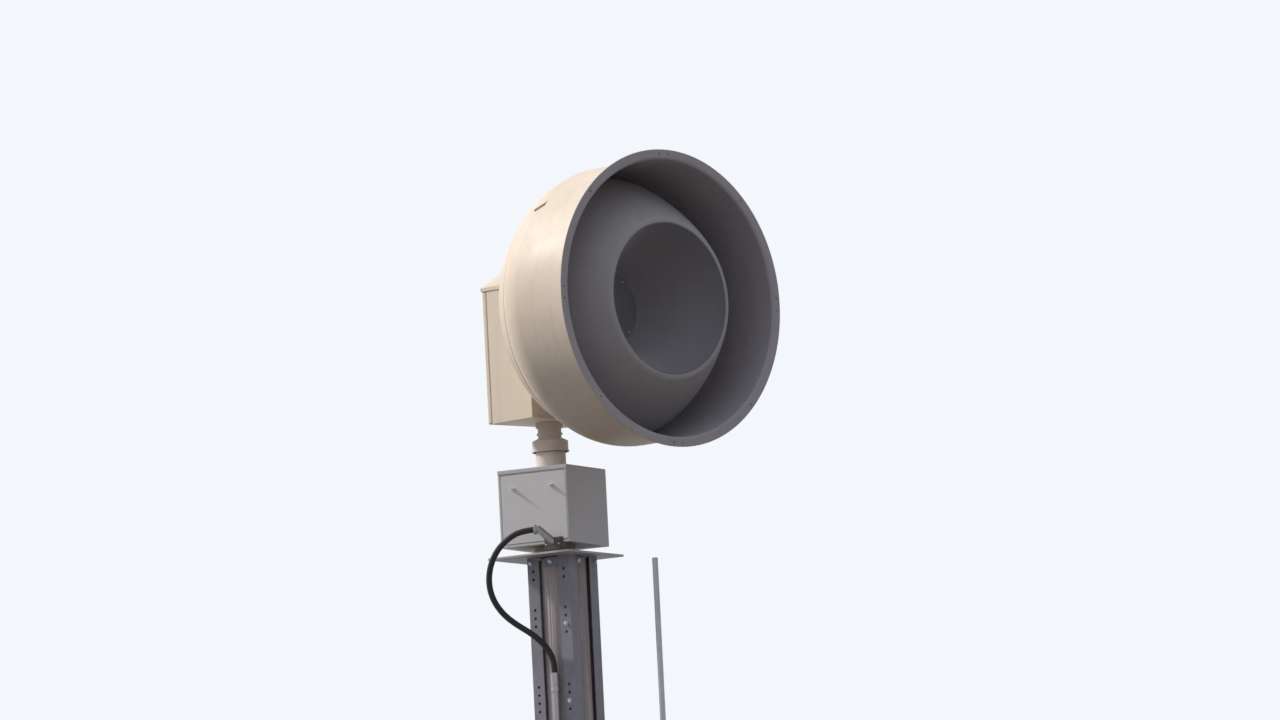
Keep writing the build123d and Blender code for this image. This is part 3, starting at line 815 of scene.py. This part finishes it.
def box_studs():
    """Two threaded studs through the cover, each with a washer and a nut."""
    level, apart = lid_top - 0.092, 0.102
    stud_radius, thread_radius, stud_length = 0.0043, 0.0045, 0.0255
    first_thread, thread_pitch, thread_width = 0.010, 0.0014, 0.0007
    parts = []
    for side in (-1, 1):
        spot = box_matrix @ Vector((side * apart, -box_half - 0.001, level))
        out = box_matrix.to_3x3() @ Vector((0, -1, 0))
        stud = bevel(cylinder("stud", stud_radius, 0, stud_length, 20), 0.001)
        starts = [first_thread + thread_pitch * i for i in range(10)]
        threads = [cylinder("thread", thread_radius, start, start + thread_width, 20) for start in starts]
        nut = hex_bolt("nut", across=0.0145, height=0.008, washer=0.021)
        parts.append(place(join("stud", [stud, nut] + threads), facing(spot, out, side * 0.4)))
    dressed(join("studs", parts), bright_zinc, "mast", "stud_steel", "cover_studs", angle=30)


def pedestal():
    low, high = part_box("box_pedestal")
    drum_radius = 0.095
    piece = bevel(cylinder("pedestal_drum", drum_radius, low.z, high.z, 72, rotor.x), 0.002)
    dressed(piece, olive_paint, *steel, "box_pedestal")


# Plate, clips and legs
def plate_sheet():
    piece = block("plate_sheet", plate_low, plate_high)
    select_edges(piece, lambda middle, way: abs(way.z) > 0.9)
    bpy.ops.mesh.bevel(offset=0.004, segments=3)
    bevel(piece, 0.0012)
    # Painted light: the plate's side faces take a lighter zinc, as if lit.
    paint_two(piece, plate_zinc, plate_edge_painted_light, lambda centre, normal: abs(normal.z) < 0.5)
    dressed(piece, plate_zinc, *steel, "top_plate")


def plate_bolts():
    """Bolts that hold the pedestal to the plate."""
    bolt_circle = 0.118
    spots = [facing((rotor.x + bolt_circle * cos(turn), bolt_circle * sin(turn), plate_high.z),
                    (0, 0, 1), 0.3 * i) for i, turn in enumerate(quarter_turns)]
    model = hex_bolt("plate_bolts", across=0.019, height=0.011, washer=0.032, washer_height=0.0025)
    fasteners(model, spots, bright_zinc, *steel)


leg_half, leg_flange, leg_wall = 0.116, 0.064, 0.0064
first_group, group_pitch, hole_pitch, hole_radius = 0.241, 0.3556, 0.038, 0.007
hole_drops = [0.062, 0.100]
hole_drops += [first_group + group_pitch * g + hole_pitch * i for g in range(4) for i in range(4)]


def steel_leg(side_x, side_y, node_name):
    """Rolled angle with a round root and soft toes, drilled on the flange that faces front or back."""
    skin, inner, toe = -leg_half, -leg_half + leg_wall, -leg_half + leg_flange
    flange = block(node_name + "_angle", (skin, skin, leg_low.z), (toe, inner, leg_high.z))
    side = block("flange", (skin, inner, leg_low.z), (inner, toe, leg_high.z))
    piece = tidy(join(node_name + "_angle", [flange, side]))
    select_faces(piece, lambda centre, normal: abs(centre.y - inner) < 1e-5 and centre.x < inner)
    bpy.ops.mesh.delete(type="FACE")
    root, toes = [(inner, inner)], [(toe, inner), (inner, toe)]
    corners = [(skin, skin), (toe, skin), (skin, toe)]
    for spots, width in ((root, 0.006), (toes, 0.0035), (corners, 0.002)):
        select_edges(piece, lambda middle, way: abs(way.z) > 0.9
                     and any(hypot(middle.x - x, middle.y - y) < 1e-4 for x, y in spots))
        bpy.ops.mesh.bevel(offset=width, segments=4)
    drills = []
    for drop in hole_drops:
        spot = Matrix.Translation((skin + leg_flange / 2, skin, leg_high.z - drop))
        drill = cylinder("drill", hole_radius, -0.02, 0.02, 24)
        drills.append(place(drill, spot @ Matrix.Rotation(pi / 2, 4, "X")))
    cut(piece, join("drills", drills))
    place(piece, Matrix.Diagonal((-side_x, -side_y, 1, 1)))
    dressed(tidy(piece), galvanized, *steel, node_name)


def leg_bolts():
    """A lag screw at the third hole of each group, in the front left leg through the other flange."""
    middle = leg_half - leg_flange / 2
    spots = []
    for g in range(4):
        level = leg_high.z - first_group - group_pitch * g - hole_pitch * 2
        for x, y, out, spin in ((middle, -leg_half, (0, -1, 0), 1), (middle, leg_half, (0, 1, 0), 1),
                                (-middle, leg_half, (0, 1, 0), -1), (-leg_half, -middle, (-1, 0, 0), -1)):
            spots.append(facing((x, y, level), out, 0.7 * g + spin))
    fasteners(hex_bolt("leg_bolts", across=0.013, height=0.008, washer=0.021), spots, bright_zinc, *steel)


def clip_angle(node_name, across, side):
    """Angle clip: a face in line with the leg's flange and a top leg under the plate."""
    low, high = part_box(node_name)
    face_low, face_high = list(low), list(high)
    if side < 0:
        face_high[across] = low[across] + leg_wall
    else:
        face_low[across] = high[across] - leg_wall
    face = block("clip_face", face_low, face_high)
    top = block("clip_top", (low.x, low.y, high.z - leg_wall), high)
    piece = bevel(join(node_name + "_angle", [face, top]), 0.001)
    dressed(piece, galvanized, *steel, node_name)


def clip_bolts():
    """Hex heads on the clips' faces and on the legs beside them, at the photographed places."""
    level = leg_high.z - 0.024
    spots = []
    for side in (-1, 1):
        for x in (-0.097, 0.012):
            spots.append(facing((-side * x, side * leg_half, level), (0, side, 0), x * 20))
        for y in (-0.040, 0.098):
            spots.append(facing((side * leg_half, side * y, level), (side, 0, 0), y * 20))
    fasteners(hex_bolt("clip_bolts", across=0.013, height=0.007, washer=0.018), spots, bright_zinc, *steel)


# Conduit: the loop's points, as x, y and height above the plate, then straight down into the coupling
flexible_route = [(0.031, -0.265, 0.1015), (-0.023, -0.292, 0.0985), (-0.081, -0.312, 0.0695),
                  (-0.135, -0.322, 0.0235), (-0.173, -0.324, -0.0345), (-0.195, -0.318, -0.0995),
                  (-0.199, -0.306, -0.1625), (-0.183, -0.290, -0.2235), (-0.148, -0.268, -0.2795),
                  (-0.103, -0.240, -0.3235), (-0.060, -0.208, -0.3585), (-0.025, -0.176, -0.3975),
                  (-0.001, -0.148, -0.4395)]
coupling_low, coupling_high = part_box("conduit_coupling")
run_x, run_y = (coupling_low.x + coupling_high.x) / 2, (coupling_low.y + coupling_high.y) / 2
run_top, straight_end = coupling_high.z, 0.056
flexible_route = [Vector((x, y, plate_high.z + rise)) for x, y, rise in flexible_route]
flexible_route += [Vector((run_x, run_y, run_top + straight_end)), Vector((run_x, run_y, run_top))]


def cast_block():
    """Cast junction box: a foot, a taller front part and a cover plate with two screws."""
    low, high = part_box("conduit_block")
    foot_height, margin, proud, screw_inset = 0.034, 0.006, 0.0018, 0.012
    foot = block("block_casting", low, (high.x, high.y, low.z + foot_height))
    tower = block("block_tower", low, (high.x, -box_half - 0.008, high.z))
    modify(foot, "BOOLEAN", object=tower, operation="UNION", solver="EXACT")
    bpy.data.objects.remove(tower)
    bevel(foot, 0.004, 4)
    dressed(foot, cast_brown, "mast", "block_brown", "conduit_block")
    plate = block("block_cover", (low.x + margin, low.y - proud, low.z + margin),
                  (high.x - margin, low.y + 0.002, high.z - margin))
    dressed(bevel(plate, 0.0012), cast_brown, "mast", "block_brown")
    spots = [facing((x, low.y - proud, (low.z + high.z) / 2), (0, -1, 0), 0.3)
             for x in (low.x + screw_inset, high.x - screw_inset)]
    fasteners(dome_screw("block_screws", diameter=0.008, height=0.003), spots, bright_zinc, "mast",
              "block_brown", 50)


def conduit_gland():
    """Elbow gland: body, round elbow, hexagonal compression nut and a sealing ring."""
    tube, elbow_radius, nut_half, elbow_back = 0.0165, 0.0168, 0.0203, 0.022
    mouth_end, nut_start, nut_end, rib_width = 0.0095, 0.009, 0.0215, 0.0012
    first, second = flexible_route[:2]
    way = (second - first).normalized()
    elbow = first - way * elbow_back
    low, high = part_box("conduit_block")
    root = Vector(((low.x + high.x) / 2, low.y + 0.012, high.z - 0.022))
    stub = place(cylinder("gland_body", tube, 0, (elbow - root).length, 32), facing(root, elbow - root))
    ball = sphere("gland_elbow", elbow_radius, elbow, 32, 20)
    along = facing(elbow, way)
    mouth = place(cylinder("gland_mouth", tube, 0, mouth_end, 32), along)
    nut = bevel(cylinder("gland_nut", nut_half / cos(pi / 6), nut_start, nut_end, 6), 0.0022, 3)
    place(nut, along)
    ribs = [place(cylinder("gland_rib", elbow_radius, start, start + rib_width, 32), along)
            for start in (0.004, 0.0062)]
    piece = join("gland_body", [stub, ball, mouth, nut] + ribs)
    dressed(piece, die_cast, "mast", "gland_gray", "conduit_fitting", angle=40)


def rigid_run():
    """Coupling with its compression nut, and the rigid conduit under it."""
    radius, ring_radius, nut_radius = 0.0195, 0.021, 0.0209
    foot = coupling_low.z
    body = cylinder("coupling_body", radius, foot, run_top - 0.002, 40, run_x, run_y)
    rings = [cylinder("coupling_ring", ring_radius, foot + start, foot + end, 40, run_x, run_y)
             for start, end in ((0.002, 0.016), (0.034, 0.040))]
    nut = cylinder("coupling_nut", nut_radius, run_top - 0.026, run_top, 6, run_x, run_y)
    screw = place(hex_bolt("coupling_screw", across=0.007, height=0.0014),
                  facing((run_x, run_y - radius, foot + 0.050), (0, -1, 0)))
    for part in rings + [nut]:
        bevel(part, 0.0018, 3)
    piece = join("coupling_body", [body, nut, screw] + rings)
    dressed(piece, conduit_zinc, "mast", "rigid_steel", "conduit_coupling")
    smooth(frame["nodes"]["rigid_conduit"], 30)


# Antenna mast
def antenna_mast():
    """Tube with a cap on its upper end."""
    low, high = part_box("antenna_rod")
    x = (low.x + high.x) / 2
    tube_radius, cap_radius, cap_height = 0.0132, 0.0135, 0.024
    rod = bevel(cylinder("mast_tube", tube_radius, low.z, high.z - 0.003, 48, x), 0.001)
    cap = bevel(cylinder("mast_cap", cap_radius, high.z - cap_height, high.z, 48, x), 0.003, 4)
    dressed(join("mast_tube", [rod, cap]), mast_painted_reflection, *steel, "antenna_rod")


def antenna_arm(node_name):
    """Square tube with a bolted foot across two legs and a clamp round the mast."""
    low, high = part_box(node_name)
    reach, foot_end, bar_half = 0.514, leg_half + 0.006, 0.016
    clamp_radius, bore_radius, bolt_spread = 0.0195, 0.0135, 0.084
    bar = block("arm_bar", (leg_half + 0.003, -bar_half, low.z), (reach - 0.012, bar_half, high.z))
    bevel(bar, 0.003, 3)
    foot = bevel(block("arm_foot", (leg_half, -leg_half, low.z), (foot_end, leg_half, high.z)), 0.0012)
    ring = bevel(cylinder("arm_clamp", clamp_radius, low.z, high.z, 48, reach), 0.0015)
    cut(ring, cylinder("arm_bore", bore_radius, low.z - 0.01, high.z + 0.01, 48, reach))
    spots = [facing((foot_end, side * bolt_spread, (low.z + high.z) / 2), (1, 0, 0), side)
             for side in (-1, 1)]
    bolts = repeated(hex_bolt("arm_bolt", across=0.017, height=0.008, washer=0.026), spots)
    piece = join(node_name + "_bar", [bar, foot, ring, bolts])
    dressed(piece, galvanized, *steel, node_name)


# Wood pole
def pole_shaft():
    """Tapered shaft, finely cut along and around, with shallow seasoning checks pressed in."""
    top, foot, sides, rings = 0.109, 0.160, 180, 150
    seat = pole_top - 1.55
    check_half_angle = 0.02
    piece = cylinder("pole_shaft", top, 0, pole_top, sides)
    select_edges(piece, lambda middle, way: abs(way.z) > 0.9)
    bpy.ops.mesh.subdivide(number_cuts=rings)
    clear()
    checks = [(random.uniform(0, 2 * pi), random.uniform(0, pole_top), random.uniform(0.25, 1.1),
               random.uniform(0.0015, 0.0035)) for _ in range(150)]
    for vert in piece.data.vertices:
        turn = atan2(vert.co.y, vert.co.x)
        reach = hypot(vert.co.x, vert.co.y)
        if reach < top * 0.5:
            continue
        radius = foot + (top - foot) * min(vert.co.z / seat, 1)
        depth = 0.0
        for angle, height, length, deep in checks:
            away = abs((turn - angle + pi) % (2 * pi) - pi)
            along = abs(vert.co.z - height) / length
            if away < check_half_angle and along < 1:
                depth = max(depth, deep * (1 - along))
        vert.co.x *= (radius - depth) / reach
        vert.co.y *= (radius - depth) / reach
    dressed(piece, wood, "mast", "treated_wood", "wood_pole", angle=60)


horn_bell()
horn_rim()
shoulder_lip()
rim_fasteners()
horn_rear_shell()
horn_plug()
horn_funnel()
throat_end()
housing_side(1, "housing_left_panel")
housing_side(-1, "housing_right_panel")
housing_back()
housing_roof()
turning_pipe()
collar_and_neck()
box_case()
box_cover()
box_lid()
box_studs()
pedestal()
plate_sheet()
plate_bolts()
for side_x, side_y, name in ((-1, -1, "front_left"), (1, -1, "front_right"), (-1, 1, "back_left"),
                             (1, 1, "back_right")):
    steel_leg(side_x, side_y, "leg_" + name)
leg_bolts()
for name, across, side in (("front", 1, -1), ("back", 1, 1), ("right", 0, 1), ("left", 0, -1)):
    clip_angle("clip_" + name, across, side)
clip_bolts()
cast_block()
conduit_gland()
rigid_run()
antenna_mast()
antenna_arm("antenna_arm_upper")
antenna_arm("antenna_arm_lower")
pole_shaft()


def set_camera():
    """Camera at the photograph's angle: a long lens far below, looking up."""
    azimuth, rise, roll = radians(33.9), radians(6.5), radians(2.86)
    distance, sensor = 100.0, 36.0
    pixels_per_metre = 217.6
    photo_width, photo_height = 1280, 720
    collar_across, collar_down = 550.3, 447.0
    towards = Vector((sin(azimuth) * cos(rise), -cos(azimuth) * cos(rise), -sin(rise)))
    level = Vector((cos(azimuth), sin(azimuth), 0))
    upright = towards.cross(level)
    right = level * cos(roll) - upright * sin(roll)
    up = level * sin(roll) + upright * cos(roll)
    aside = (photo_width / 2 - collar_across) / pixels_per_metre
    above = (collar_down - photo_height / 2) / pixels_per_metre
    target = rotor + right * aside + up * above
    camera = bpy.data.objects.new("camera", bpy.data.cameras.new("camera"))
    bpy.context.collection.objects.link(camera)
    turn = Matrix((right, up, towards)).transposed().to_4x4()
    camera.matrix_world = Matrix.Translation(target + towards * distance) @ turn
    camera.data.sensor_width = sensor
    camera.data.lens = sensor * distance / (photo_width / pixels_per_metre)
    camera.data.clip_start = 1
    camera.data.clip_end = 1000
    bpy.context.scene.camera = camera


set_camera()


def set_conduit():
    """Flexible conduit from the gland to the coupling."""
    curve = bpy.data.curves.new("flexible_loop", "CURVE")
    curve.dimensions = "3D"
    spline = curve.splines.new("NURBS")
    spline.points.add(len(flexible_route) - 1)
    for point, spot in zip(spline.points, flexible_route):
        point.co = (*spot, 1)
    spline.order_u = 3
    spline.use_endpoint_u = True
    curve.bevel_depth = 0.014
    curve.bevel_resolution = 6
    curve.resolution_u = 14
    curve.use_fill_caps = True
    loop = bpy.data.objects.new("flexible_loop", curve)
    bpy.context.collection.objects.link(loop)
    curve.materials.append(black)
    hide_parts("flexible_conduit")
    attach(loop, "mast")


set_conduit()


# Stage: pale ground, sun from the left and behind, soft sky that is brightest on its side
def seen_rays(tree):
    """1 for camera, glossy and transmission rays, which meet the pale backdrop."""
    path = node(tree, "LightPath").outputs
    either = node(tree, "Math", [(0, path["Is Camera Ray"]), (1, path["Is Glossy Ray"])],
                  operation="MAXIMUM")
    return node(tree, "Math", [(0, either.outputs[0]), (1, path["Is Transmission Ray"])],
                operation="MAXIMUM").outputs[0]


def set_stage():
    sun_from = Vector((-0.769, -0.218, 0.60))
    sun_strength, sun_spread = 2.8, radians(8)
    sky_far, sky_near = 0.36, 0.72
    clear()
    bpy.ops.mesh.primitive_plane_add(size=900)
    floor = named("ground")
    material, tree, shader, spot = shaded("pale ground", 0.1)
    shader.inputs["Roughness"].default_value = 0.9
    tree.links.new(mixed(tree, seen_rays(tree), (0.12, 0.105, 0.095), (0.84, 0.87, 0.91)),
                   shader.inputs["Base Color"])
    paint(floor, material)
    sun = bpy.data.objects.new("key", bpy.data.lights.new("key", "SUN"))
    sun.data.energy = sun_strength
    sun.data.angle = sun_spread
    sun.data.color = (1.0, 0.94, 0.86)
    sun.rotation_mode = "QUATERNION"
    sun.rotation_quaternion = sun_from.to_track_quat("Z", "Y")
    bpy.context.collection.objects.link(sun)
    world = bpy.data.worlds.new("sky")
    world.use_nodes = True
    tree = world.node_tree
    way = node(tree, "TexCoord").outputs["Generated"]
    lit = node(tree, "VectorMath", [(0, way), (1, sun_from.normalized())], operation="DOT_PRODUCT")
    strength = node(tree, "MapRange", [("Value", lit.outputs["Value"])], From_Min=-0.3, From_Max=1.0,
                    To_Min=sky_far, To_Max=sky_near)
    soft = tree.nodes["Background"]
    soft.inputs[0].default_value = (0.80, 0.86, 1.0, 1)
    tree.links.new(strength.outputs[0], soft.inputs[1])
    seen = node(tree, "Background", [(0, (0.90, 0.93, 0.97, 1)), (1, 1.0)])
    mix = node(tree, "MixShader", [(0, seen_rays(tree)), (1, soft.outputs[0]), (2, seen.outputs[0])])
    tree.links.new(mix.outputs[0], tree.nodes["World Output"].inputs["Surface"])
    bpy.context.scene.world = world
    bpy.context.scene.view_settings.view_transform = "Standard"


set_stage()
